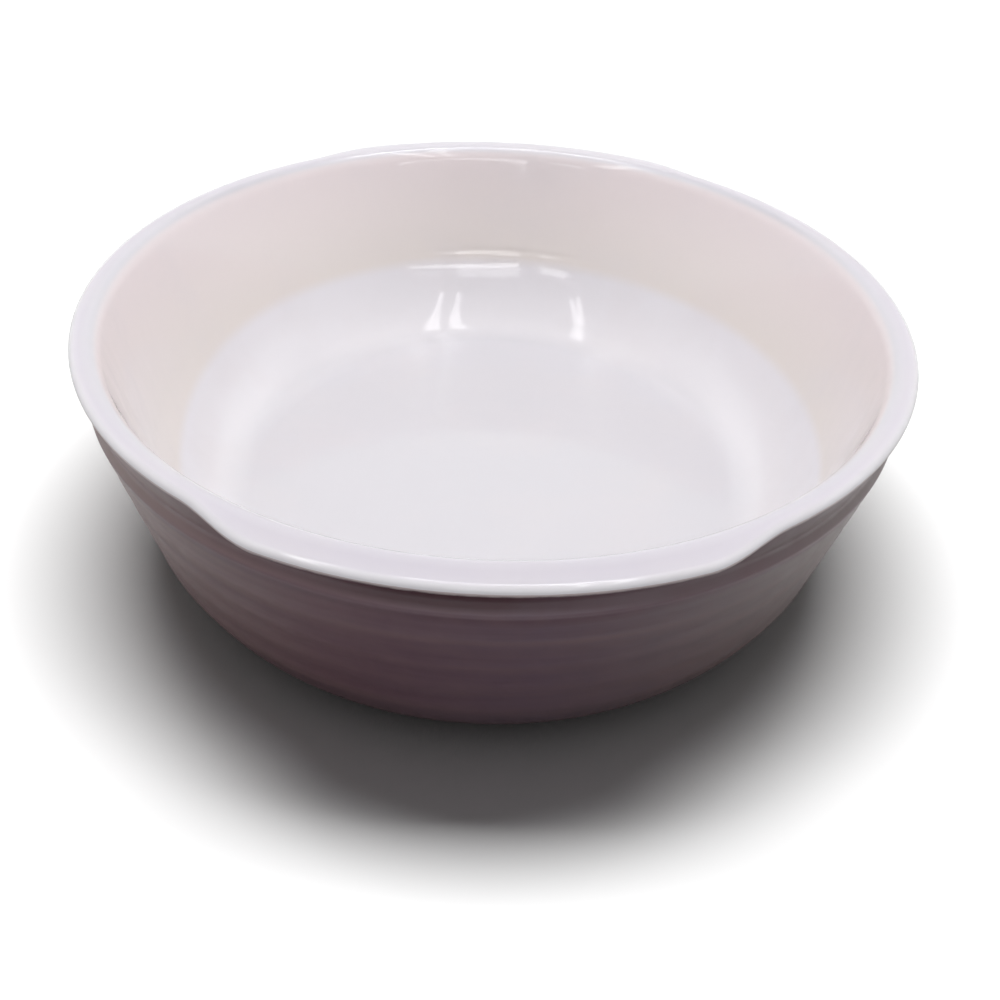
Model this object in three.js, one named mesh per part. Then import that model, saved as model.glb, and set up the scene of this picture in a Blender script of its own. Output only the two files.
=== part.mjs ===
// Oval casserole dish: one stoneware body with a lip handle at each end, glazed white inside and mauve outside.
// Millimetres, +Z up, long axis along Y, origin in the middle of the plane that the foot ring stands on.
import * as THREE from 'three';

// Overall form
const rimHalfLength = 125; // oval of the rim's outer edge, the handles left out
const rimHalfWidth = 100;
const height = 57;

// Rim
const rimWidth = 6; // from the outer edge to the inside wall, across the flat top
const rimEdgeRadius = 1.5; // outer edge, above the line where the two glazes meet
const rimUnderRadius = 1; // outer edge, below that line
const rimInnerRadius = 3;

// Lip handles, drawn out of the rim at both ends
const lipReach = 4.3; // past the oval
const lipDroop = 0.6; // outer edge below the rim's top
const lipHalfWidth = 40; // stretch with the full reach
const lipFade = 19; // stretch in which the lip dies into the oval
const lipRootDrop = 4; // height of the hollow under the lip

// Collar: shallow band between the rim and the ledge that the wall starts at
const collarDrop = 12; // rim's top to the ledge
const collarRecess = 0.9; // how far the band lies behind the ledge
const ledgeHeight = 2.6; // slope from the band out to the ledge
const ledgeInset = 3.3; // from the rim's outer edge

// Wall, floor and cove
const wallLean = 22; // degrees from upright, the same inside and outside
const bottomRadius = 24; // outer rounding from the wall to the base
const floorThickness = 6.5;
const coveRise = 20; // inner rounding: height on the wall
const coveRun = 14; // inner rounding: run on the floor

// Throwing rings round the wall
const ringPitch = 7.2; // measured in height
const ringStart = 4.4; // ledge to the first groove
const ringDepth = 0.25;

// Foot ring and glaze
const footHeight = 1.5;
const footWidth = 7;
const footDraft = 0.4;
const glazeThickness = 0.5;
const bareHeight = 0.7; // wiped clay between the foot ring's root and the outer glaze
const undersideMargin = 1; // wiped clay inside the foot ring

// Fineness of the mesh: steps in a quarter of the oval, and in each rounding of the section
const sideSteps = 8;
const fadeSteps = 5;
const lipSteps = 3;
const edgeSteps = 2;
const coveSteps = 5;
const bottomSteps = 5;
const rootSteps = 3;

// Heights and slopes that follow from the sizes above
const lean = Math.tan(THREE.MathUtils.degToRad(wallLean));
const glazeLineZ = height - rimEdgeRadius;
const ledgeZ = height - collarDrop;
const floorZ = footHeight + floorThickness;

// Section of the dish: a point has out, its distance past the rim's oval (inside is negative), its height z,
// and lip, the share of the handle's reach that it follows.
const at = (out, z, lip = 0) => ({ out, z, lip });

// Points of a rounding between two straight runs that would meet at the corner
function rounding(from, corner, to, steps) {
  const curve = new THREE.QuadraticBezierCurve(
    new THREE.Vector2(from.out, from.z),
    new THREE.Vector2(corner.out, corner.z),
    new THREE.Vector2(to.out, to.z),
  );
  return curve.getPoints(steps).map((p) => at(p.x, p.y));
}

// Points of a round arc, with angles in degrees from straight out
function arc(centre, radius, fromAngle, toAngle, steps, lip) {
  const start = THREE.MathUtils.degToRad(fromAngle);
  const end = THREE.MathUtils.degToRad(toAngle);
  const curve = new THREE.EllipseCurve(centre.out, centre.z, radius, radius, start, end, end < start);
  return curve.getPoints(steps).map((p) => at(p.x, p.y, lip));
}

const insideWall = (z) => at(-rimWidth - lean * (height - z), z);
const outsideWall = (z) => at(-ledgeInset - lean * (ledgeZ - z), z);

// White coat: floor, cove, inside wall, rim top and the outer edge down to the glaze line
function whiteSection() {
  const corner = insideWall(floorZ);
  const cove = rounding(at(corner.out - coveRun, floorZ), corner, insideWall(floorZ + coveRise), coveSteps);
  const topInner = at(rimInnerRadius - rimWidth, height);
  const innerEdge = rounding(insideWall(height - rimInnerRadius), insideWall(height), topInner, edgeSteps + 1);
  const outerEdge = arc(at(-rimEdgeRadius, glazeLineZ), rimEdgeRadius, 90, 0, edgeSteps + 1, 1);
  return [...cove, ...innerEdge, ...outerEdge];
}

// Mauve coat: under the rim's edge and the lip, collar, ledge, ringed wall and bottom rounding
function mauveSection() {
  const underEdge = arc(at(-rimUnderRadius, glazeLineZ), rimUnderRadius, 0, wallLean - 90, edgeSteps + 1, 1);
  const rimFoot = underEdge.at(-1);
  const collarFoot = at(-ledgeInset - collarRecess, ledgeZ + ledgeHeight);

  // the hollow under the lip falls away from the edge and runs out on the collar
  const collarSlope = (rimFoot.out - collarFoot.out) / (rimFoot.z - collarFoot.z);
  const hollow = Array.from({ length: rootSteps }, (_, i) => {
    const share = (i + 1) / rootSteps;
    const drop = share * lipRootDrop;
    return at(rimFoot.out - collarSlope * drop, rimFoot.z - drop, (1 - share) ** 2);
  });

  // crests of the rings lie on the wall's line and the grooves behind it, as far as the wall is straight
  const wallEnd = footHeight + bottomRadius * (1 - Math.sin(THREE.MathUtils.degToRad(wallLean)));
  const wall = [outsideWall(ledgeZ)];
  for (let z = ledgeZ - ringStart; z > wallEnd + ringPitch / 2; z -= ringPitch) {
    wall.push(at(outsideWall(z).out - ringDepth, z), outsideWall(z - ringPitch / 2));
  }

  return [...underEdge, ...hollow, collarFoot, ...wall, ...bottomSection()];
}

// Round bottom, tangent to the wall and to the plane of the foot ring's root, down to the wiped clay
const bottomCentre = at(outsideWall(footHeight).out + bottomRadius * (lean - 1 / Math.cos(Math.atan(lean))),
  footHeight + bottomRadius);
function bottomSection() {
  const wiped = THREE.MathUtils.radToDeg(Math.acos(1 - bareHeight / bottomRadius));
  return arc(bottomCentre, bottomRadius, -wallLean, wiped - 90, bottomSteps, 0);
}

// Bare clay: rest of the bottom, and the foot ring out to the recess inside it
function footSection() {
  const outer = bottomCentre.out;
  const inner = outer - footWidth;
  const recessZ = footHeight + glazeThickness;
  return [
    at(outer, footHeight),
    at(outer - footDraft, 0),
    at(inner + footDraft, 0),
    at(inner, recessZ),
  ];
}

// Section moved into the clay by a coat's thickness, square to its own run
function bedOf(section, thickness) {
  return section.map((point, i) => {
    const before = section[Math.max(i - 1, 0)];
    const after = section[Math.min(i + 1, section.length - 1)];
    const run = new THREE.Vector2(after.out - before.out, after.z - before.z).normalize();
    return at(point.out + run.y * thickness, point.z - run.x * thickness, point.lip);
  });
}

// Places round the oval: a quarter from the side to the end, denser where the lip dies away, then mirrored
function placesRound() {
  const fadeEnd = Math.acos((lipHalfWidth + lipFade) / rimHalfWidth);
  const fadeStart = Math.acos(lipHalfWidth / rimHalfWidth);
  const spread = (from, to, steps) =>
    Array.from({ length: steps }, (_, i) => THREE.MathUtils.lerp(from, to, i / steps));
  const quarter = [
    ...spread(0, fadeEnd, sideSteps),
    ...spread(fadeEnd, fadeStart, fadeSteps),
    ...spread(fadeStart, Math.PI / 2, lipSteps),
  ];
  const back = [Math.PI / 2, ...quarter.slice(1).reverse()].map((angle) => Math.PI - angle);
  const half = [...quarter, ...back];
  return [...half, ...half.map((angle) => angle + Math.PI)];
}
const places = placesRound();

// A section point carried round the oval; the lip adds its reach and droop near both ends
function pointOn(section, angle) {
  const sideways = Math.abs(rimHalfWidth * Math.cos(angle));
  const fade = 1 - THREE.MathUtils.smoothstep(sideways, lipHalfWidth, lipHalfWidth + lipFade);
  const out = section.out + lipReach * section.lip * fade;
  return [
    (rimHalfWidth + out) * Math.cos(angle),
    (rimHalfLength + out) * Math.sin(angle),
    section.z - lipDroop * section.lip * fade,
  ];
}

// Solid of a section carried round the oval. With two pole heights the section is closed on the axis at the
// first and last of its rings; without them its last ring joins its first.
function carriedRound(section, poles = []) {
  const count = places.length;
  const positions = section.flatMap((point) => places.flatMap((angle) => pointOn(point, angle)));
  const index = [];
  const strips = poles.length ? section.length - 1 : section.length;
  for (let i = 0; i < strips; i += 1) {
    const next = (i + 1) % section.length;
    const first = i * count;
    const second = next * count;
    // a four-sided facet is split the same way from either side, so that faces that touch have the same triangles
    const rising = section[next].z - section[i].z || section[next].out - section[i].out;
    for (let j = 0; j < count; j += 1) {
      const k = (j + 1) % count;
      if (rising > 0) {
        index.push(first + j, second + j, first + k);
        index.push(first + k, second + j, second + k);
      } else {
        index.push(first + j, second + j, second + k);
        index.push(first + j, second + k, first + k);
      }
    }
  }
  if (poles.length) {
    const top = section.length * count;
    const bottom = top + 1;
    const lastRing = (section.length - 1) * count;
    positions.push(0, 0, poles[0], 0, 0, poles[1]);
    for (let j = 0; j < count; j += 1) {
      const k = (j + 1) % count;
      index.push(top, j, k);
      index.push(bottom, lastRing + k, lastRing + j);
    }
  }
  const geometry = new THREE.BufferGeometry();
  geometry.setAttribute('position', new THREE.Float32BufferAttribute(positions, 3));
  geometry.setIndex(index);
  geometry.computeVertexNormals();
  return geometry;
}

// The coats lie on beds that are cut once from the whole section, so that clay and glaze meet face to face
const white = whiteSection();
const mauve = mauveSection();
const bed = bedOf([...white, ...mauve.slice(1)], glazeThickness);
const whiteBed = bed.slice(0, white.length);
const mauveBed = bed.slice(white.length - 1);
const foot = footSection();
const recessZ = foot.at(-1).z;

function stonewareBody() {
  const clay = new THREE.MeshStandardMaterial({ color: 0xcdbfa9, roughness: 0.9, metalness: 0 });
  const geometry = carriedRound([...bed, ...foot], [floorZ - glazeThickness, recessZ]);
  return new THREE.Mesh(geometry, clay);
}

function interiorGlaze() {
  const glaze = new THREE.MeshStandardMaterial({ color: 0xf0ebec, roughness: 0.12, metalness: 0 });
  const section = [...white, ...[...whiteBed].reverse()];
  return new THREE.Mesh(carriedRound(section, [floorZ, floorZ - glazeThickness]), glaze);
}

function exteriorGlaze() {
  const glaze = new THREE.MeshStandardMaterial({ color: 0x5a424c, roughness: 0.2, metalness: 0 });
  const section = [...mauve, ...[...mauveBed].reverse()];
  return new THREE.Mesh(carriedRound(section), glaze);
}

function undersideGlaze() {
  const glaze = new THREE.MeshStandardMaterial({ color: 0x5a424c, roughness: 0.25, metalness: 0 });
  const edge = foot.at(-1).out - undersideMargin;
  const section = [at(edge, recessZ), at(edge, recessZ - glazeThickness)];
  return new THREE.Mesh(carriedRound(section, [recessZ, recessZ - glazeThickness]), glaze);
}

const dish = new THREE.Group();
const pieces = {
  stoneware_body: stonewareBody(),
  interior_glaze: interiorGlaze(),
  exterior_glaze: exteriorGlaze(),
  underside_glaze: undersideGlaze(),
};
for (const [name, mesh] of Object.entries(pieces)) {
  mesh.name = name;
  dish.add(mesh);
}

export default dish;
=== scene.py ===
import bpy
import numpy as np
from mathutils import Matrix, Vector


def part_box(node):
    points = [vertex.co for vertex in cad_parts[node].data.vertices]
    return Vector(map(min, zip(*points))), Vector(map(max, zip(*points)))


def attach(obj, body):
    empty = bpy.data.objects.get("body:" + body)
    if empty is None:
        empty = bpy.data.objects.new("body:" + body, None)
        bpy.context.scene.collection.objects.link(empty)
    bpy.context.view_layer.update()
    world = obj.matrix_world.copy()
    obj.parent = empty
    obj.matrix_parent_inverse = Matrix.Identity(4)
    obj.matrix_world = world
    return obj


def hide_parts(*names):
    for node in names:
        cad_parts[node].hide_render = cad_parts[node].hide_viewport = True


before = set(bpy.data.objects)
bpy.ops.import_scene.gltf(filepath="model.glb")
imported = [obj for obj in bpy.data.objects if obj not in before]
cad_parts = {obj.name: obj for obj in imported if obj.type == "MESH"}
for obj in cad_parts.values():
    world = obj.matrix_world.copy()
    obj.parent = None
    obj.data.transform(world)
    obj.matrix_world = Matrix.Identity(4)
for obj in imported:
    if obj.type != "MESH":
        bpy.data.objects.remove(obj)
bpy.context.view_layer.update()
mm = 0.001               # sizes below are in millimetres, meshes are in metres
print("frame loaded:", ", ".join(sorted(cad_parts)))


# Section of the dish, shared by the clay and the glazes
# A section point has out (how far it lies past the rim's oval), z, and lip (share of the handle's reach)
rim = {"width": 6.0, "edgeRadius": 1.5, "underRadius": 1.0, "innerRadius": 3.0}
handles = {"reach": 4.3, "droop": 0.6, "halfWidth": 40.0, "fade": 19.0, "rootDrop": 4.0}
collar = {"drop": 12.0, "recess": 0.9, "ledgeHeight": 2.6, "ledgeInset": 3.3, "hollowBend": 1.0,
          "ledgeBend": 0.5}
wall = {"lean": 22.0, "bottomRadius": 24.0, "floorThickness": 6.5, "coveRise": 20.0, "coveRun": 14.0}
foot = {"height": 1.5, "width": 7.0, "draft": 0.4, "edgeRadius": 0.5, "bareHeight": 0.7, "margin": 1.0}
glaze = {"thickness": 0.5, "edgeRoll": 0.9, "rollEnd": 0.98, "seamRow": 0.04}

# Fineness of the meshes
fineness = {
    "stations": 440,                                    # round the oval
    "stepLength": 1.1, "stepTurn": 6.0,                 # millimetres and degrees of bend from row to row
    "bedSkip": 3, "floorRows": 10, "hiddenRows": 3,     # beds keep one row in bedSkip
    "curvePoints": 60, "bendPoints": 40, "wallPoints": 400, "rollPoints": 8, "leastStep": 1e-5,
}

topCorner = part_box("interior_glaze")[1] / mm
halfWidth = topCorner.x
halfLength = topCorner.y - handles["reach"]
height = topCorner.z
lean = np.tan(np.radians(wall["lean"]))
glazeLineZ = height - rim["edgeRadius"]
ledgeZ = height - collar["drop"]
floorZ = foot["height"] + wall["floorThickness"]
recessZ = foot["height"] + glaze["thickness"]
theta = np.linspace(0, 2 * np.pi, fineness["stations"], endpoint=False)


def at(out, z, lip=0.0):
    return np.array([out, z, lip])


# straight lines of the two walls: out falls by the lean for each millimetre down
def insideWall(z):
    return at(-rim["width"] - lean * (height - z), z)


def outsideWall(z):
    return at(-collar["ledgeInset"] - lean * (ledgeZ - z), z)


# rounding between two straight runs: (1-t)^2 first + 2t(1-t) corner + t^2 last
def bend(first, corner, last, count=fineness["bendPoints"]):
    t = np.linspace(0, 1, count)[:, None]
    return (1 - t) ** 2 * first + 2 * t * (1 - t) * corner + t * t * last


# rounding that starts and ends a given reach away from the corner
def cornerBend(before, corner, after, reach):
    backward = (before - corner) / np.hypot(*(before - corner)[:2])
    onward = (after - corner) / np.hypot(*(after - corner)[:2])
    return bend(corner + reach * backward, corner, corner + reach * onward)


# round arc with its angles in degrees from straight out
def arc(centre, radius, fromAngle, toAngle, lip=0.0, count=fineness["curvePoints"]):
    angle = np.radians(np.linspace(fromAngle, toAngle, count))
    return np.stack([centre[0] + radius * np.cos(angle), centre[1] + radius * np.sin(angle),
                     np.full(count, lip)], 1)


# straight run: points evenly spaced from first to last
def run(first, last, count=fineness["curvePoints"]):
    return np.linspace(first, last, count)


# smooth step: 3t^2 - 2t^3, where t goes from 0 at start to 1 at end
def ramp(value, start, end):
    t = np.clip((value - start) / (end - start), 0, 1)
    return t * t * (3 - 2 * t)


# runs joined to one section, repeated points dropped: its points, the length s along it, the way into the
# clay, and effort, the number of rows that its length and its bends call for
def sectionOf(*runs):
    points = np.vstack(runs)
    step = np.hypot(*np.diff(points[:, :2], axis=0).T)
    points = points[np.r_[True, step > fineness["leastStep"]]]
    step = np.hypot(*np.diff(points[:, :2], axis=0).T)
    way = np.gradient(points[:, :2], axis=0)
    way /= np.hypot(*way.T)[:, None]
    turn = np.abs(np.diff(np.unwrap(np.arctan2(way[:, 1], way[:, 0]))))
    effort = np.cumsum(step / fineness["stepLength"] + turn / np.radians(fineness["stepTurn"]))
    return {"points": points, "s": np.r_[0, np.cumsum(step)], "effort": np.r_[0, effort],
            "inward": np.stack([way[:, 1], -way[:, 0]], 1)}


# lengths at which rows are laid, spaced evenly by effort
def rowLengths(section):
    effort = section["effort"]
    return np.interp(np.linspace(0, effort[-1], int(np.ceil(effort[-1])) + 1), effort, section["s"])


# section points at lengths s, moved into the clay by depth, which may differ from station to station
def pointsAt(section, s, depth=0.0):
    columns = np.hstack([section["points"], section["inward"]]).T
    out, z, lip, inwardOut, inwardZ = (np.interp(s, section["s"], column) for column in columns)
    return np.stack(np.broadcast_arrays(out + depth * inwardOut, z + depth * inwardZ, lip), -1)


# whole inside, from the floor's edge over the rim to the line where the glazes meet
innerCorner = insideWall(floorZ)
floorEdge = at(innerCorner[0] - wall["coveRun"], floorZ)
coveTop = insideWall(floorZ + wall["coveRise"])
rimStart = insideWall(height - rim["innerRadius"])
rimTop = at(rim["innerRadius"] - rim["width"], height)
outerEdge = arc(at(-rim["edgeRadius"], glazeLineZ), rim["edgeRadius"], 90, 0, lip=1.0)
cove = bend(floorEdge, innerCorner, coveTop)
coveLength = sectionOf(cove)["s"][-1]
whiteSection = sectionOf(cove, run(coveTop, rimStart), bend(rimStart, insideWall(height), rimTop),
                         run(rimTop, outerEdge[0]), outerEdge)

# whole outside, from that line under the lip, down the collar and the wall to the wiped clay
underEdge = arc(at(-rim["underRadius"], glazeLineZ), rim["underRadius"], 0, wall["lean"] - 90, lip=1.0)
rimFoot = at(*underEdge[-1, :2])
collarFoot = at(-collar["ledgeInset"] - collar["recess"], ledgeZ + collar["ledgeHeight"])
collarDown = (collarFoot - rimFoot) / (rimFoot[1] - collarFoot[1])
# in the hollow under the lip, the share of the reach dies away as (1-t)^2 down the collar's line
t = np.linspace(0, 1, fineness["curvePoints"])[:, None]
hollow = rimFoot + t * handles["rootDrop"] * collarDown + (1 - t) ** 2 * at(0, 0, 1)
hollowBend = cornerBend(rimFoot, collarFoot, outsideWall(ledgeZ), collar["hollowBend"])
ledgeBend = cornerBend(collarFoot, outsideWall(ledgeZ), outsideWall(0), collar["ledgeBend"])
bottomCentre = at(outsideWall(foot["height"])[0] + wall["bottomRadius"] * (lean - np.hypot(1, lean)),
                  foot["height"] + wall["bottomRadius"])
wipedAngle = np.degrees(np.arccos(1 - foot["bareHeight"] / wall["bottomRadius"]))
bottomArc = arc(bottomCentre, wall["bottomRadius"], -wall["lean"], wipedAngle - 90)
mauveSection = sectionOf(underEdge, hollow, run(hollow[-1], hollowBend[0]), hollowBend, ledgeBend,
                         run(ledgeBend[-1], bottomArc[0], fineness["wallPoints"]), bottomArc)

# Throwing rings; they die out over ledgeFade below the ledge and over footFade above the foot's root
rings = {"pitch": 7.2, "start": 4.4, "depth": 0.2, "drift": 0.9, "fineDepth": 0.03, "finePitch": 2.3,
         "even": 0.7, "swell": 0.2, "flutter": 0.1, "ledgeFade": (1.0, 3.5), "footFade": (2.0, 11.0)}


# depth of the rings: cosine grooves a pitch apart with finer lines over them; slow waves round the dish make
# their height drift and their depth swell, and the angles added there only turn those waves
def ringDepth(z, angle):
    wander = rings["drift"] * (np.sin(angle + 0.7) + 0.5 * np.sin(3 * angle + 2.1))
    turns = (ledgeZ - rings["start"] - z + wander) / rings["pitch"]
    strength = (rings["even"] + rings["swell"] * np.sin(2 * angle + 0.4)
                + rings["flutter"] * np.sin(5 * angle + turns))
    grooves = rings["depth"] * strength * (0.5 + 0.5 * np.cos(2 * np.pi * turns))
    fine = rings["fineDepth"] * (0.5 + 0.5 * np.sin(2 * np.pi * (z + wander) / rings["finePitch"]))
    belowLedge = ramp(ledgeZ - z, *rings["ledgeFade"])
    aboveFoot = ramp(z - foot["height"], *rings["footFade"])
    return (grooves + fine) * belowLedge * aboveFoot


# section points carried round the oval: x = shrink (halfWidth + out) cos, y = shrink (halfLength + out) sin;
# near the ends the handle adds its reach to out and takes its droop from z, and dents are taken from out
def carryRound(points, shrink=1.0, dents=0.0):
    sideways = np.abs(halfWidth * np.cos(theta))
    onHandle = points[..., 2] * ramp(sideways, handles["halfWidth"] + handles["fade"], handles["halfWidth"])
    out = points[..., 0] - dents + handles["reach"] * onHandle
    x = shrink * (halfWidth + out) * np.cos(theta)
    y = shrink * (halfLength + out) * np.sin(theta)
    z = points[..., 1] - handles["droop"] * onHandle
    return np.stack(np.broadcast_arrays(x, y, z), -1)


# mauve outside with its rings, at lengths s below the glaze line
def ringedOutside(s, depth=0.0):
    dents = ringDepth(pointsAt(mauveSection, s)[..., 1], theta)
    return carryRound(pointsAt(mauveSection, s, depth), dents=dents)


# flat disc inside a ring of the oval, as rings that shrink to the middle
def flatRings(edge, z, count=fineness["hiddenRows"]):
    return carryRound(at(edge, z), shrink=(np.arange(1, count) / count)[:, None])


# faces of a grid of rings: quads between neighbouring rings, closed round the oval; with poles, two points
# after the grid's own close the first and last ring, and without poles the last ring joins the first
def ringFaces(ringCount, stations, poles):
    index = np.arange(ringCount * stations).reshape(ringCount, stations)
    here, following = (index[:-1], index[1:]) if poles else (index, np.roll(index, -1, axis=0))
    quads = np.stack([here, following, np.roll(following, -1, axis=1), np.roll(here, -1, axis=1)], -1)
    faces = quads.reshape(-1, 4).tolist()
    if poles:
        first, last = index[0], index[-1]
        faces += np.stack([np.full(stations, index.size), first, np.roll(first, -1)], -1).tolist()
        faces += np.stack([np.full(stations, index.size + 1), np.roll(last, -1), last], -1).tolist()
    return faces


# piece made of a grid of rings, with the heights of its poles and a value per point for each attribute
def addPiece(name, grid, material, node, poles=(), attributes=()):
    vertices = np.vstack([grid.reshape(-1, 3), *([[0, 0, z]] for z in poles)])
    faces = ringFaces(*grid.shape[:2], poles)
    mesh = bpy.data.meshes.new(name)
    mesh.from_pydata((vertices * mm).tolist(), [], faces)
    mesh.polygons.foreach_set("use_smooth", np.ones(len(faces), bool))
    for label, values in dict(attributes).items():
        padded = np.full(len(vertices), values[-1, -1])      # poles take the last ring's value
        padded[:values.size] = values.ravel()
        mesh.attributes.new(label, "FLOAT", "POINT").data.foreach_set("value", padded)
    mesh.materials.append(material)
    mesh.update()
    piece = bpy.data.objects.new(name, mesh)
    bpy.context.scene.collection.objects.link(piece)
    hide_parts(node)
    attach(piece, "root")
    print(f"{name}: {sum(len(face) - 2 for face in faces)} triangles")
    return piece


# Materials
# sRGB hex colour as the linear values that nodes take
def linear(hexColour):
    srgb = np.array([int(hexColour[i:i + 2], 16) for i in (1, 3, 5)]) / 255
    rgb = np.where(srgb <= 0.04045, srgb / 12.92, ((srgb + 0.055) / 1.055) ** 2.4)
    return (*rgb.tolist(), 1.0)


# node with its settings; inputs are sockets to link or plain values
def addNode(tree, kind, inputs=(), **settings):
    made = tree.nodes.new("ShaderNode" + kind)
    for key, value in settings.items():
        setattr(made, key, value)
    for key, value in dict(inputs).items():
        if isinstance(value, bpy.types.NodeSocket):
            tree.links.new(value, made.inputs[key])
        else:
            made.inputs[key].default_value = value
    return made


def newMaterial(name):
    material = bpy.data.materials.new(name)
    material.use_nodes = True
    material.node_tree.nodes.clear()
    return material, material.node_tree


# glossy or matt surface of a piece, and the place on it that patterns are laid by
def newSurface(tree):
    shader = addNode(tree, "BsdfPrincipled")
    addNode(tree, "OutputMaterial", {"Surface": shader.outputs[0]})
    return shader, addNode(tree, "TexCoord").outputs["Object"]


def perSize(size):        # pattern scale for a feature of that many millimetres
    return 1 / (size * mm)


# Tin-white glaze, dipped and fired glossy: a clear even white that is cool where it pools on the floor and
# thinner and warmer on the steep wall, with a whiter tone painted in the cove and along the outer edge as
# painted light, soft waves that break up reflections and a few pinholes
whiteLook = {
    # the cove colour is painted light: a whiter tone laid in the cove and along the outer edge
    "pool": "#e8e6ec", "thinLow": "#f5ede9", "thinHigh": "#fbeff1", "cove": "#f7f4f9", "rim": "#e9e3ed",
    "cloud": "#efe9ec", "bleed": "#d5c6c8", "pinhole": "#b3a49d",
    "rimFrom": 7.0, "rimTo": 3.0,            # from the line where the glazes meet
    "cloudSize": 26.0, "cloudRange": (0.5, 0.75), "cloudShare": 0.3,
    "bleedWidth": 0.3, "raggedSize": 2.5,
    "pinholeSpacing": 13.0, "pinholeRadius": (0.156, 0.39), "pinholesFrom": 0.8, "pinholeDepth": 0.4,
    "waveSize": 7.0, "waveHeight": 0.3, "waveStrength": 0.2,
    "roughness": (0.03, 0.07), "roughRange": (0.3, 0.7), "ior": 1.52,
}


def whiteGlaze():
    look = whiteLook
    material, tree = newMaterial("tin_white_glaze")
    shader, place = newSurface(tree)
    thin, paintedLight, fromLine = (addNode(tree, "Attribute", attribute_name=name).outputs["Fac"]
                                for name in ("thinness", "paintedLight", "fromLine"))
    # the thin coat is a little rosier towards the top of the wall
    z = addNode(tree, "SeparateXYZ", {"Vector": place}).outputs["Z"]
    up = addNode(tree, "MapRange", {"Value": z, "From Min": coveTop[1] * mm,
                                    "From Max": height * mm}).outputs[0]
    warm = addNode(tree, "Mix", {"Factor": up, "A": linear(look["thinLow"]), "B": linear(look["thinHigh"])},
                   data_type="RGBA").outputs["Result"]
    onRim = addNode(tree, "MapRange", {"Value": fromLine, "From Min": look["rimTo"],
                                       "From Max": look["rimFrom"], "To Min": 1.0, "To Max": 0.0}).outputs[0]
    clouds = addNode(tree, "TexNoise", {"Vector": place, "Scale": perSize(look["cloudSize"]),
                                        "Detail": 4.0}).outputs["Fac"]
    cloudy = addNode(tree, "MapRange", {"Value": clouds, "From Min": look["cloudRange"][0],
                                        "From Max": look["cloudRange"][1],
                                        "To Max": look["cloudShare"]}).outputs[0]
    # the mauve bleeds a little into the white along the line
    ragged = addNode(tree, "TexNoise", {"Vector": place, "Scale": perSize(look["raggedSize"]),
                                        "Detail": 3.0}).outputs["Fac"]
    reach = addNode(tree, "Math", {0: ragged, 1: look["bleedWidth"]}, operation="MULTIPLY").outputs[0]
    bleed = addNode(tree, "MapRange", {"Value": fromLine, "From Min": 0.0, "From Max": reach, "To Min": 1.0,
                                       "To Max": 0.0}, interpolation_type="SMOOTHSTEP").outputs[0]
    # pinholes where gas came through the glaze, drawn about twice their real size so that they show
    cells = addNode(tree, "TexVoronoi", {"Vector": place, "Scale": perSize(look["pinholeSpacing"])}).outputs
    core, edge = np.array(look["pinholeRadius"]) / look["pinholeSpacing"]
    spot = addNode(tree, "MapRange", {"Value": cells["Distance"], "From Min": core, "From Max": edge,
                                      "To Min": 1.0, "To Max": 0.0}).outputs[0]
    some = addNode(tree, "Math", {0: cells["Color"], 1: look["pinholesFrom"]},
                   operation="GREATER_THAN").outputs[0]
    pinholes = addNode(tree, "Math", {0: spot, 1: some}, operation="MULTIPLY").outputs[0]
    tone = addNode(tree, "Mix", {"Factor": thin, "A": linear(look["pool"]), "B": warm},
                   data_type="RGBA").outputs["Result"]
    # painted light: the whiter cove colour laid over the cove and the outer edge
    for share, colour in ((onRim, "rim"), (paintedLight, "cove"), (cloudy, "cloud"), (bleed, "bleed"),
                          (pinholes, "pinhole")):
        tone = addNode(tree, "Mix", {"Factor": share, "A": tone, "B": linear(look[colour])},
                       data_type="RGBA").outputs["Result"]
    gloss = addNode(tree, "MapRange", {"Value": clouds, "From Min": look["roughRange"][0],
                                       "From Max": look["roughRange"][1], "To Min": look["roughness"][0],
                                       "To Max": look["roughness"][1]}).outputs[0]
    waves = addNode(tree, "TexNoise", {"Vector": place, "Scale": perSize(look["waveSize"]),
                                       "Detail": 1.0}).outputs["Fac"]
    relief = addNode(tree, "Math", {0: pinholes, 1: -look["pinholeDepth"], 2: waves},
                     operation="MULTIPLY_ADD").outputs[0]
    bump = addNode(tree, "Bump", {"Height": relief, "Strength": look["waveStrength"],
                                  "Distance": look["waveHeight"] * mm}).outputs[0]
    tree.links.new(tone, shader.inputs["Base Color"])
    tree.links.new(gloss, shader.inputs["Roughness"])
    tree.links.new(bump, shader.inputs["Normal"])
    shader.inputs["IOR"].default_value = look["ior"]
    return material


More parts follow.
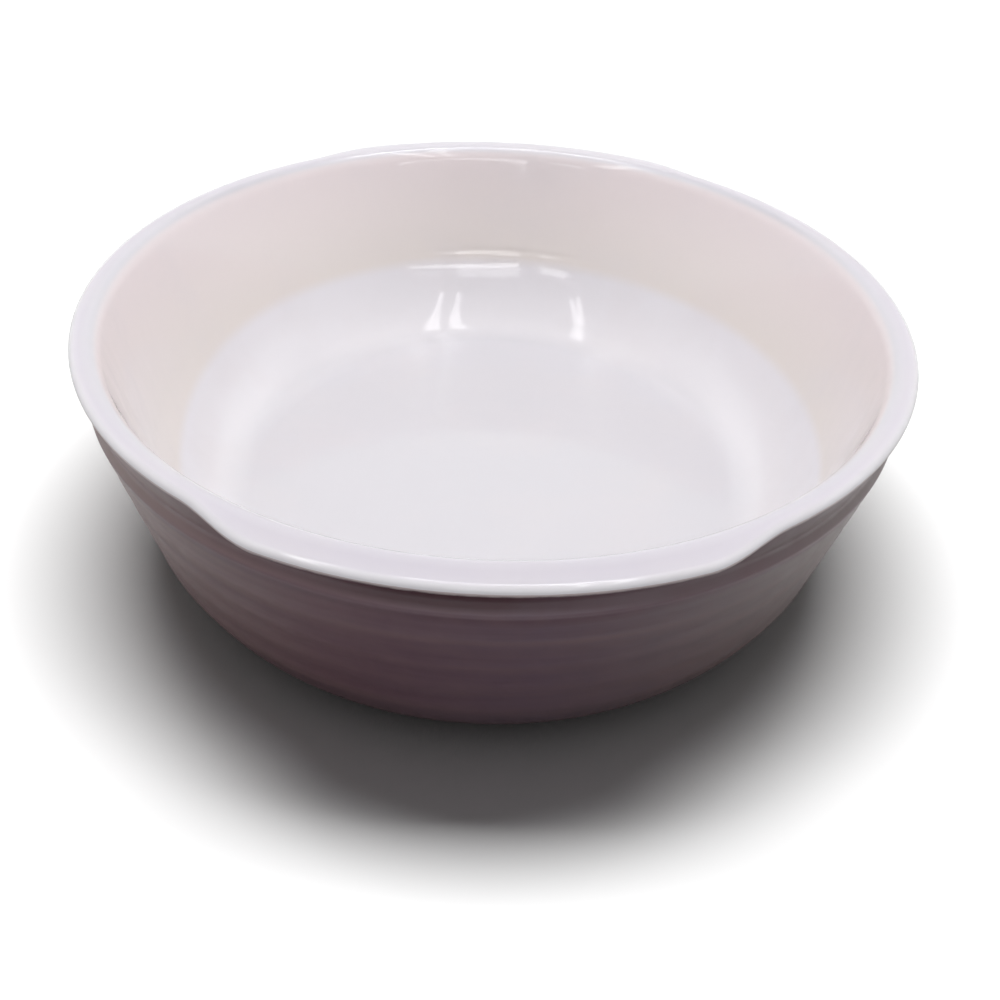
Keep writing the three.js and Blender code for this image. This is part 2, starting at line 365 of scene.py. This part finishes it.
# Manganese-mauve glaze, dipped and fired to a soft gloss: plum that breaks to a lighter brown on ring crests,
# darker in the grooves, streaked along the rings, finely mottled; painted shade under the rim and on the
# collar, a painted highlight on the ledge with painted shade below it, a painted light line at the lower
# edge, and sides painted lighter as sheen
mauveLook = {
    # both ends of this ramp are painted lighter, as sheen on the sides
    "flashAndPaintedSheen": ((0.12, "#8a7270"), (0.34, "#765862"), (0.56, "#745f6d"), (0.86, "#7c6f6d")),     # left to right
    # the pool colour is painted shadow under the lips, and the low edge colour a painted pale light line at
    # the lower edge
    "groove": "#624552", "crestAndPaintedLight": "#866b6b", "pool": "#48252f", "lowLightLine": "#d2c9d4", "overrun": "#d5c6c8",
    "streakLength": 70.0, "streakHeight": 2.6, "streakWeight": 1.2, "dragWeight": 0.4,
    "grooveRange": (0.5, 1.1), "crestRange": (1.1, 1.75), "crestShare": 0.8,
    "mottleSize": 5.0, "mottleRange": (0.25, 0.8), "mottleShare": 0.25,
    "lipShadowMottle": 0.3, "lipShadowRange": (0.25, 1.1), "lipShadowShare": 0.95,
    "raggedSize": 2.5, "raggedRange": (0.3, 0.7), "overrunWidth": (0.6, 1.2), "overrunShare": 0.9,
    "waveSize": 14.0, "waveHeight": 0.2, "waveStrength": 0.3,
    "roughness": (0.28, 0.36), "roughRange": (0.3, 0.7), "ior": 1.52,
}


def mauveGlaze():
    look = mauveLook
    material, tree = newMaterial("manganese_mauve_glaze")
    shader, place = newSurface(tree)
    crestAndPaintedLight, lipShadow, lowLightLine, fromLine = (addNode(tree, "Attribute", attribute_name=name).outputs["Fac"]
                                        for name in ("crestAndPaintedLight", "lipShadow", "lowLightLine", "fromLine"))
    along, upward = perSize(look["streakLength"]), perSize(look["streakHeight"])
    drawn = addNode(tree, "Mapping", {"Vector": place, "Scale": (along, along, upward)}).outputs[0]
    streaks = addNode(tree, "TexNoise", {"Vector": drawn, "Scale": 1.0, "Detail": 3.0}).outputs["Fac"]
    mottle = addNode(tree, "TexNoise", {"Vector": place, "Scale": perSize(look["mottleSize"]),
                                        "Detail": 4.0}).outputs["Fac"]
    # the coat is thin where the crests and the streaks are high; the crest value also carries painted shade
    # and highlight
    broken = addNode(tree, "Math", {0: streaks, 1: look["streakWeight"], 2: crestAndPaintedLight},
                     operation="MULTIPLY_ADD").outputs[0]
    offGroove = addNode(tree, "MapRange", {"Value": broken, "From Min": look["grooveRange"][0],
                                           "From Max": look["grooveRange"][1]}).outputs[0]
    onCrest = addNode(tree, "MapRange", {"Value": broken, "From Min": look["crestRange"][0],
                                         "From Max": look["crestRange"][1],
                                         "To Max": look["crestShare"]}).outputs[0]
    mottled = addNode(tree, "MapRange", {"Value": mottle, "From Min": look["mottleRange"][0],
                                         "From Max": look["mottleRange"][1],
                                         "To Max": look["mottleShare"]}).outputs[0]
    # painted shadow of the rim's lips, dark down to a soft uneven line on the collar
    uneven = addNode(tree, "Math", {0: mottle, 1: look["lipShadowMottle"], 2: lipShadow},
                     operation="MULTIPLY_ADD").outputs[0]
    dark = addNode(tree, "MapRange", {"Value": uneven, "From Min": look["lipShadowRange"][0],
                                      "From Max": look["lipShadowRange"][1],
                                      "To Max": look["lipShadowShare"]}).outputs[0]
    # the white ran a little way over the mauve before it set
    ragged = addNode(tree, "TexNoise", {"Vector": place, "Scale": perSize(look["raggedSize"]),
                                        "Detail": 3.0}).outputs["Fac"]
    reach = addNode(tree, "MapRange", {"Value": ragged, "From Min": look["raggedRange"][0],
                                       "From Max": look["raggedRange"][1], "To Min": look["overrunWidth"][0],
                                       "To Max": look["overrunWidth"][1]}).outputs[0]
    overrun = addNode(tree, "MapRange", {"Value": fromLine, "From Min": 0.0, "From Max": reach,
                                         "To Min": look["overrunShare"], "To Max": 0.0},
                      interpolation_type="SMOOTHSTEP").outputs[0]
    # the kiln flashed the glaze from brown on one side through plum to a greyer mauve on the other, and both
    # ends are painted lighter as sheen
    x = addNode(tree, "SeparateXYZ", {"Vector": place}).outputs["X"]
    across = addNode(tree, "MapRange", {"Value": x, "From Min": -halfWidth * mm, "From Max": halfWidth * mm})
    flashAndPaintedSheen = addNode(tree, "ValToRGB", {"Fac": across.outputs[0]})
    stops = flashAndPaintedSheen.color_ramp.elements
    while len(stops) < len(look["flashAndPaintedSheen"]):
        stops.new(0.5)
    for stop, (position, colour) in zip(stops, look["flashAndPaintedSheen"]):
        stop.position = position
        stop.color = linear(colour)
    tone = addNode(tree, "Mix", {"Factor": offGroove, "A": linear(look["groove"]),
                                 "B": flashAndPaintedSheen.outputs["Color"]}, data_type="RGBA").outputs["Result"]
    for share, colour in ((onCrest, "crestAndPaintedLight"), (mottled, "crestAndPaintedLight"), (dark, "pool"), (lowLightLine, "lowLightLine"),
                          (overrun, "overrun")):
        tone = addNode(tree, "Mix", {"Factor": share, "A": tone, "B": linear(look[colour])},
                       data_type="RGBA").outputs["Result"]
    gloss = addNode(tree, "MapRange", {"Value": mottle, "From Min": look["roughRange"][0],
                                       "From Max": look["roughRange"][1], "To Min": look["roughness"][0],
                                       "To Max": look["roughness"][1]}).outputs[0]
    waves = addNode(tree, "TexNoise", {"Vector": place, "Scale": perSize(look["waveSize"])}).outputs["Fac"]
    drag = addNode(tree, "TexNoise", {"Vector": drawn, "Scale": 1.0, "Detail": 0.0}).outputs["Fac"]
    relief = addNode(tree, "Math", {0: drag, 1: look["dragWeight"], 2: waves},
                     operation="MULTIPLY_ADD").outputs[0]
    bump = addNode(tree, "Bump", {"Height": relief, "Strength": look["waveStrength"],
                                  "Distance": look["waveHeight"] * mm}).outputs[0]
    tree.links.new(tone, shader.inputs["Base Color"])
    tree.links.new(gloss, shader.inputs["Roughness"])
    tree.links.new(bump, shader.inputs["Normal"])
    shader.inputs["IOR"].default_value = look["ior"]
    return material


# Buff stoneware, pressed, sponged and fired bare: matt cream clay with fine dark grit and a toasted tone
clayLook = {
    "clay": "#cbbca4", "toast": "#b39a7c", "grit": "#8a7560", "cloudSize": 18.0,
    "gritSpacing": 0.9, "gritRadius": (0.135, 0.36), "gritFrom": 0.86, "gritShare": 0.8,
    "toothSize": 0.35, "toothHeight": 0.15, "toothStrength": 0.5, "roughness": 0.88,
}


def bareStoneware():
    look = clayLook
    material, tree = newMaterial("buff_stoneware")
    shader, place = newSurface(tree)
    clouds = addNode(tree, "TexNoise", {"Vector": place, "Scale": perSize(look["cloudSize"]),
                                        "Detail": 5.0}).outputs["Fac"]
    cells = addNode(tree, "TexVoronoi", {"Vector": place, "Scale": perSize(look["gritSpacing"])}).outputs
    core, edge = np.array(look["gritRadius"]) / look["gritSpacing"]
    spot = addNode(tree, "MapRange", {"Value": cells["Distance"], "From Min": core, "From Max": edge,
                                      "To Min": look["gritShare"], "To Max": 0.0}).outputs[0]
    some = addNode(tree, "Math", {0: cells["Color"], 1: look["gritFrom"]},
                   operation="GREATER_THAN").outputs[0]
    grit = addNode(tree, "Math", {0: spot, 1: some}, operation="MULTIPLY").outputs[0]
    tone = addNode(tree, "Mix", {"Factor": clouds, "A": linear(look["clay"]), "B": linear(look["toast"])},
                   data_type="RGBA").outputs["Result"]
    tone = addNode(tree, "Mix", {"Factor": grit, "A": tone, "B": linear(look["grit"])},
                   data_type="RGBA").outputs["Result"]
    tooth = addNode(tree, "TexNoise", {"Vector": place, "Scale": perSize(look["toothSize"]),
                                       "Detail": 3.0}).outputs["Fac"]
    bump = addNode(tree, "Bump", {"Height": tooth, "Strength": look["toothStrength"],
                                  "Distance": look["toothHeight"] * mm}).outputs[0]
    tree.links.new(tone, shader.inputs["Base Color"])
    tree.links.new(bump, shader.inputs["Normal"])
    shader.inputs["Roughness"].default_value = look["roughness"]
    return material


whiteMaterial, mauveMaterial, clayMaterial = whiteGlaze(), mauveGlaze(), bareStoneware()
print("materials made")

# Pieces
# the pressing tool left a faint crease at the foot of the far wall: a bell-shaped dent, one reach above the
# cove, with at and spread in degrees round the dish
crease = {"depth": 0.1, "reach": 0.9, "at": 90.0, "spread": 14.0, "rows": 21, "span": (-1.5, 3.5)}

# rows of both coats, closer in the crease and next to the line where the coats meet
whiteEnd, mauveEnd = whiteSection["s"][-1], mauveSection["s"][-1]
creaseRows = coveLength + crease["reach"] * np.linspace(*crease["span"], crease["rows"])
whiteRows = np.sort(np.r_[rowLengths(whiteSection), creaseRows, whiteEnd - glaze["seamRow"]])[:, None]
mauveRows = np.sort(np.r_[rowLengths(mauveSection), glaze["seamRow"]])[:, None]


# fewer rows for the faces between coat and clay, which nobody sees
def bedRows(rows):
    return np.vstack([rows[:-1][::fineness["bedSkip"]], rows[-1:]])


whiteBed = carryRound(pointsAt(whiteSection, bedRows(whiteRows), glaze["thickness"]))
mauveBed = ringedOutside(bedRows(mauveRows), glaze["thickness"])
farFromLine = 99.0       # where no tone follows the line between the coats


# values on the skin's rows of a grid, from firstRow on, and one value everywhere else
def onSkin(grid, firstRow, values, elsewhere=0.0):
    spread = np.full(grid.shape[:2], elsewhere)
    spread[firstRow:firstRow + len(values)] = values
    return spread


# How the white lies: where it thins, and where a whiter tone is painted on as light in the cove and along the
# outer edge, in millimetres along the section; steep is the slope's sine. On the left, at the angle given in
# degrees round the dish, the painted cove light stops lower, so the wall's thin coat shows further down into
# the cove.
whiteLay = {"steep": (0.35, 0.9), "belowRim": (3.5, 7.0), "outerEdge": (2.8, 1.3), "floorFade": 11.0,
            "coveFade": 4.5, "coveLightShortfall": 11.0, "coveLightShortfallAt": 205.0, "coveLightShortfallSpread": 38.0}


# white coat: floor, cove, inside wall and rim as one skin, closed underneath by its bed on the clay
def interiorGlaze():
    lower = floorZ - glaze["thickness"]
    awayFromCrease = (theta - np.radians(crease["at"])) / np.radians(crease["spread"])
    pastCove = (whiteRows - coveLength) / crease["reach"]
    creased = crease["depth"] * np.exp(-(pastCove - 1) ** 2 - awayFromCrease ** 2)
    skin = carryRound(pointsAt(whiteSection, whiteRows, creased))
    floor = flatRings(floorEdge[0], floorZ, fineness["floorRows"])
    grid = np.concatenate([floor, skin, whiteBed[::-1], flatRings(floorEdge[0], lower)[::-1]])
    fromLine = whiteEnd - whiteRows
    slope = np.interp(whiteRows, whiteSection["s"], np.abs(whiteSection["inward"][:, 0]))
    thinness = ramp(slope, *whiteLay["steep"]) * ramp(fromLine, *whiteLay["belowRim"])
    # painted light: a whiter tone over the cove, stopping lower on the left, and along the outer edge
    awayFromShortfall = (theta - np.radians(whiteLay["coveLightShortfallAt"])) / np.radians(whiteLay["coveLightShortfallSpread"])
    coveEnd = coveLength - whiteLay["coveLightShortfall"] * np.exp(-awayFromShortfall ** 2)
    inCove = (ramp(whiteRows, 0, whiteLay["floorFade"])
              * ramp(whiteRows, coveEnd, coveEnd - whiteLay["coveFade"]))
    paintedLight = inCove + ramp(fromLine, *whiteLay["outerEdge"])
    return addPiece("interior_glaze_skin", grid, whiteMaterial, "interior_glaze",
                    poles=(floorZ, lower),
                    attributes={"thinness": onSkin(grid, len(floor), thinness),
                                "paintedLight": onSkin(grid, len(floor), paintedLight),
                                "fromLine": onSkin(grid, len(floor), fromLine, farFromLine)})


# How the mauve's tone is laid: a painted shadow of the lips lies on the collar, deepest below the middle of
# the lips, reaching a little lower on the right and not at all at the left end; the coat is thin on ring
# crests, the collar is held darker as painted shade under the rim, with a painted highlight on the ledge,
# painted shade just under it and a painted light line at the lower edge. Heights are from the ledge, the
# shadow's drop is from the glaze line, and left and right are places across the dish. grooves to recess are
# shares of the crest tone, from which the shade under the ledge is taken.
mauveLay = {
    "lipShadowDrop": 9.4, "lipShadowSoft": 0.6, "lipShadowMiddle": -6.0, "lipShadowLeast": 0.42, "lipShadowSlant": 0.05,
    "lipShadowLeftEnd": (-75.0, -50.0), "rightDrop": 0.8, "rightSide": (10.0, 40.0),
    # the collar, ledge and under-ledge shares are painted shade, a painted highlight and painted shade
    "grooves": 0.25, "crests": 0.45, "collar": 0.3, "ledge": 0.25, "shadeUnderLedge": 0.6, "recess": 0.4,
    "collarFrom": (-0.3, 0.3), "ledgeFrom": (-0.6, 0.0), "ledgeSoft": 0.6,
    "shadeUnderLedgeTop": (0.7, -0.1), "shadeUnderLedgeFoot": (-3.0, -1.0), "lowLightLine": 3.5, "lowLightLineShare": 0.9,
}


# mauve coat: rim's under edge, collar, ledge and ringed wall, rolled off at the wiped clay in a quarter of
# an ellipse
def exteriorGlaze():
    lay = mauveLay
    roll = np.clip((mauveRows - mauveEnd + glaze["edgeRoll"]) / glaze["edgeRoll"], 0, glaze["rollEnd"])
    skin = ringedOutside(mauveRows, glaze["thickness"] * (1 - np.sqrt(1 - roll ** 2)))
    grid = np.concatenate([skin, mauveBed[::-1]])
    z = pointsAt(mauveSection, mauveRows)[..., 1]
    overLedge = z - ledgeZ
    # crest tone: painted shade on the collar, a painted highlight on the ledge and painted shade just under
    # the ledge
    onCollar = ramp(overLedge, *lay["collarFrom"])
    ledgeTop = collar["ledgeHeight"]
    ledgeHighlight = (ramp(overLedge, *lay["ledgeFrom"])
               * ramp(overLedge, ledgeTop + lay["ledgeSoft"], ledgeTop - lay["ledgeSoft"]))
    shadeUnderLedge = ramp(overLedge, *lay["shadeUnderLedgeTop"]) * ramp(overLedge, *lay["shadeUnderLedgeFoot"])
    ringCrest = 1 - ringDepth(z, theta) / (rings["depth"] + rings["fineDepth"])
    crestAndPaintedLight = ((lay["grooves"] + lay["crests"] * ringCrest) * (1 - onCollar) + lay["collar"] * onCollar
             + lay["ledge"] * ledgeHighlight - lay["shadeUnderLedge"] * shadeUnderLedge)
    # painted shadow of the lips on the collar: strongest mid-lip, none at the left end, lower on the right;
    # thickness is its strength
    across = halfWidth * np.cos(theta)
    least = lay["lipShadowLeast"] + lay["lipShadowSlant"] * np.cos(theta)
    offMiddle = ramp(np.abs(across - lay["lipShadowMiddle"]), 0, handles["halfWidth"])
    thickness = (1 - (1 - least) * offMiddle) * ramp(across, *lay["lipShadowLeftEnd"])
    lipShadowFoot = glazeLineZ - lay["lipShadowDrop"] - lay["rightDrop"] * ramp(across, *lay["rightSide"])
    lipShadow = thickness * ramp(z, lipShadowFoot - lay["lipShadowSoft"], lipShadowFoot + lay["lipShadowSoft"])
    # painted light: a pale line along the glaze's lower edge
    lowLightLine = lay["lowLightLineShare"] * ramp(mauveEnd - mauveRows, lay["lowLightLine"], 0)
    return addPiece("exterior_glaze_skin", grid, mauveMaterial, "exterior_glaze",
                    attributes={"crestAndPaintedLight": onSkin(grid, 0, crestAndPaintedLight), "lipShadow": onSkin(grid, 0, lipShadow),
                                "lowLightLine": onSkin(grid, 0, lowLightLine),
                                "fromLine": onSkin(grid, 0, mauveRows, farFromLine)})


# clay body: the beds of both coats, then the wiped bottom and the foot ring with softened edges
def stonewareBody():
    outer, inner = bottomCentre[0], bottomCentre[0] - foot["width"]
    lastBed = pointsAt(mauveSection, mauveRows[-1], glaze["thickness"])[0]
    corners = [at(outer, foot["height"]), at(outer - foot["draft"], 0), at(inner + foot["draft"], 0),
               at(inner, recessZ), at(inner - foot["margin"], recessZ)]
    bends = [cornerBend(before, corner, after, foot["edgeRadius"])
             for before, corner, after in zip([lastBed, *corners], corners[:-1], corners[1:])]
    footSection = sectionOf(lastBed[None], *bends, corners[-1][None])
    floor = flatRings(floorEdge[0], floorZ - glaze["thickness"])
    bottom = carryRound(pointsAt(footSection, rowLengths(footSection)[1:, None]))
    recess = flatRings(corners[-1][0], recessZ)[::-1]
    grid = np.concatenate([floor, whiteBed, mauveBed[1:], bottom, recess])
    return addPiece("stoneware_body_fired", grid, clayMaterial, "stoneware_body",
                    poles=(floorZ - glaze["thickness"], recessZ))


# mauve coat in the recess under the dish, a thin disc with a rolled edge
def undersideGlaze():
    edge = bottomCentre[0] - foot["width"] - foot["margin"]
    lower = recessZ - glaze["thickness"]
    roll = arc(at(edge - glaze["thickness"], recessZ), glaze["thickness"], 0, -90,
               count=fineness["rollPoints"])
    bottom = flatRings(roll[-1, 0], lower, fineness["floorRows"])[::-1]
    grid = np.concatenate([flatRings(edge, recessZ), carryRound(roll[:, None]), bottom])
    return addPiece("underside_glaze_skin", grid, mauveMaterial, "underside_glaze",
                    poles=(recessZ, lower),
                    attributes={"crestAndPaintedLight": np.full(grid.shape[:2], mauveLay["recess"]),
                                "fromLine": np.full(grid.shape[:2], farFromLine)})


white, mauve, clay, underside = interiorGlaze(), exteriorGlaze(), stonewareBody(), undersideGlaze()


# Studio, in metres
# rays that show a thing itself, straight or in gloss or glass, and not its light on matt surfaces
def seenRays(tree):
    rays = addNode(tree, "LightPath").outputs
    seen = addNode(tree, "Math", {0: rays["Is Camera Ray"], 1: rays["Is Glossy Ray"]},
                   operation="MAXIMUM").outputs[0]
    seen = addNode(tree, "Math", {0: seen, 1: rays["Is Transmission Ray"]}, operation="MAXIMUM").outputs[0]
    seen = addNode(tree, "Math", {0: seen, 1: rays["Diffuse Depth"]}, operation="SUBTRACT",
                   use_clamp=True).outputs[0]
    return rays, seen


# Floor, seen white past the soft shadow; it lights the dish as an ordinary pale table top
table = {"size": 8.0, "tone": "#959595", "mirrored": "#dadada", "seen": "#f9f9f9", "far": "#ffffff",
         "whiteFrom": (0.5, 0.9)}


def tableFinish():
    material, tree = newMaterial("pale_table_top")
    rays, seen = seenRays(tree)
    tone = addNode(tree, "Mix", {"Factor": seen, "A": linear(table["tone"]), "B": linear(table["mirrored"])},
                   data_type="RGBA").outputs["Result"]
    tone = addNode(tree, "Mix", {"Factor": rays["Is Camera Ray"], "A": tone, "B": linear(table["seen"])},
                   data_type="RGBA").outputs["Result"]
    matt = addNode(tree, "BsdfDiffuse", {"Color": tone}).outputs[0]
    # past the lamp's reach it goes on white to the horizon
    place = addNode(tree, "TexCoord").outputs["Object"]
    away = addNode(tree, "VectorMath", {0: place}, operation="LENGTH").outputs["Value"]
    far = addNode(tree, "MapRange", {"Value": away, "From Min": table["whiteFrom"][0],
                                     "From Max": table["whiteFrom"][1]}).outputs[0]
    far = addNode(tree, "Math", {0: far, 1: seen}, operation="MULTIPLY").outputs[0]
    glow = addNode(tree, "Emission", {"Color": linear(table["far"]), "Strength": 1.0}).outputs[0]
    both = addNode(tree, "MixShader", {0: far, 1: matt, 2: glow}).outputs[0]
    addNode(tree, "OutputMaterial", {"Surface": both})
    return material


side = table["size"] / 2
tableMesh = bpy.data.meshes.new("table_top")
tableCorners = [(-side, -side, 0), (side, -side, 0), (side, side, 0), (-side, side, 0)]
tableMesh.from_pydata(tableCorners, [], [(0, 1, 2, 3)])
tableMesh.materials.append(tableFinish())
tableTop = bpy.data.objects.new("table_top", tableMesh)
bpy.context.scene.collection.objects.link(tableTop)

# Surround: white where it is seen, with a dark drape behind the dish that only gloss shows, to keep the near
# rim's gloss low; the drape's limits are the upward and the backward part of a ray's direction
surround = {"ambient": 0.12, "seen": 1.0, "drape": 0.8, "drapeFoot": (0.55, 0.66), "drapeTop": (0.82, 0.72),
            "drapeBehind": (0.15, 0.5)}


def studioWorld():
    world = bpy.data.worlds.new("studio")
    world.use_nodes = True
    tree = world.node_tree
    tree.nodes.clear()
    rays, seen = seenRays(tree)
    way = addNode(tree, "SeparateXYZ", {"Vector": addNode(tree, "TexCoord").outputs["Generated"]}).outputs
    drape = rays["Is Glossy Ray"]
    for part, (start, end) in ((way["Z"], surround["drapeFoot"]), (way["Z"], surround["drapeTop"]),
                               (way["Y"], surround["drapeBehind"])):
        inside = addNode(tree, "MapRange", {"Value": part, "From Min": start, "From Max": end}).outputs[0]
        drape = addNode(tree, "Math", {0: drape, 1: inside}, operation="MULTIPLY").outputs[0]
    shown = addNode(tree, "Math", {0: drape, 1: -surround["drape"], 2: surround["seen"]},
                    operation="MULTIPLY_ADD").outputs[0]
    strength = addNode(tree, "Mix", {"Factor": seen, "A": surround["ambient"], "B": shown},
                       data_type="FLOAT").outputs["Result"]
    sky = addNode(tree, "Background", {"Color": (1, 1, 1, 1), "Strength": strength}).outputs[0]
    addNode(tree, "OutputWorld", {"Surface": sky})
    return world


bpy.context.scene.world = studioWorld()


# lamp between two end points, turned to face the dish; brightness 1 is that of white paper in full light;
# it lights only the pieces in lit, and with none given it is only seen as a glint in the gloss
def addLamp(name, first, last, tall, brightness, lit=None):
    first, last = Vector(first), Vector(last)
    middle, along = (first + last) / 2, (last - first).normalized()
    outward = (middle - along * middle.dot(along)).normalized()
    light = bpy.data.lights.new(name, "AREA")
    light.shape = "RECTANGLE"
    light.size = (last - first).length
    light.size_y = tall
    light.energy = brightness * np.pi * light.size * tall
    lamp = bpy.data.objects.new(name, light)
    turned = Matrix((along, outward.cross(along), outward)).transposed().to_4x4()
    lamp.matrix_world = Matrix.Translation(middle) @ turned
    lamp.visible_diffuse = lit is not None
    lamp.visible_glossy = lit is None
    lamp.light_linking.receiver_collection = lit
    bpy.context.scene.collection.objects.link(lamp)


def collectionOf(name, pieces):
    group = bpy.data.collections.new(name)
    for piece in pieces:
        group.objects.link(piece)
    return group


# Lamps: both ends, height and brightness
# soft light on the dish: a panel overhead and weaker fill from both sides and the front
dishLamps = {
    "overhead_panel": ((-0.65, 0.25, 2.2), (0.65, 0.25, 2.2), 0.9, 7.4),
    "fill_left": ((-1.45, 1.1, 0.85), (-1.45, -0.1, 0.85), 1.2, 1.75),
    "fill_front": ((-0.6, -1.45, 0.75), (0.6, -1.45, 0.75), 1.2, 1.05),
    "fill_right": ((1.45, -0.1, 0.85), (1.45, 1.1, 0.85), 1.2, 1.9),
}
# light off the table in front, below the rim's height, on the white's outer edge
whiteLamps = {"fill_low": ((-0.5, -0.6, 0.025), (0.5, -0.6, 0.025), 0.05, 1.2)}
# the table has its own panel, from which the dish casts one deep shadow with a soft edge
tableLamps = {"table_panel": ((-1.3, 0.46, 3.3), (1.3, 0.46, 3.3), 1.6, 10.6)}
# panes of a window behind the camera and roof strips, seen only as glints in the gloss
glintLamps = {
    "window_right_pane": ((-0.37, -2.0, 1.15), (2.25, -2.0, 1.43), 0.09, 4.5),
    "window_right_glow": ((-0.4, -2.0, 1.35), (0.95, -2.0, 1.45), 0.3, 2.4),
    "window_right_bar": ((1.36, -2.0, 1.56), (2.14, -2.0, 1.65), 0.04, 3.5),
    "window_left_pane": ((-1.55, -2.0, 1.4), (-0.85, -2.0, 1.3), 0.18, 3.5),
    "strip_right": ((0.5, -0.6, 0.9), (0.16, 0.45, 0.9), 0.045, 4.0),
    "strip_right_inner": ((0.36, -0.62, 0.9), (0.08, 0.45, 0.9), 0.045, 4.0),
    "strip_left": ((-0.76, -0.6, 0.9), (-0.43, 0.03, 0.9), 0.045, 4.0),
    "strip_left_inner": ((-0.64, -0.53, 0.9), (-0.21, 0.45, 0.9), 0.045, 4.0),
    "strip_back": ((-0.5, 3.2, 4.02), (0.7, 3.2, 4.02), 0.55, 11.0),
}
for lamps, lit in ((dishLamps, collectionOf("dish_pieces", (white, mauve, clay, underside))),
                   (whiteLamps, collectionOf("white_pieces", (white,))),
                   (tableLamps, collectionOf("table_pieces", (tableTop,))),
                   (glintLamps, None)):
    for name, (first, last, tall, brightness) in lamps.items():
        addLamp(name, first, last, tall, brightness, lit)
print("floor and lights set")

# Camera, placed by a fit to the dish's edges in the photograph; millimetres and degrees
view = {"aim": (2.97, 0.73, 1.29), "distance": 441.25, "elevation": 29.34, "turn": -0.1, "roll": 2.67,
        "lens": 61.2, "sensor": 36.0}
cameraData = bpy.data.cameras.new("camera")
cameraData.lens = view["lens"]
cameraData.sensor_width = view["sensor"]
turn, elevation, roll = np.radians([view["turn"], view["elevation"], view["roll"]])
back = Vector((np.sin(turn) * np.cos(elevation), -np.cos(turn) * np.cos(elevation), np.sin(elevation)))
level = Vector((0, 0, 1)).cross(back).normalized()
upright = back.cross(level)
right = level * np.cos(roll) + upright * np.sin(roll)
up = upright * np.cos(roll) - level * np.sin(roll)
standpoint = (Vector(view["aim"]) + back * view["distance"]) * mm
camera = bpy.data.objects.new("camera", cameraData)
camera.matrix_world = Matrix.Translation(standpoint) @ Matrix((right, up, back)).transposed().to_4x4()
bpy.context.scene.collection.objects.link(camera)
bpy.context.scene.camera = camera
bpy.context.scene.view_settings.view_transform = "Standard"
print("camera set")
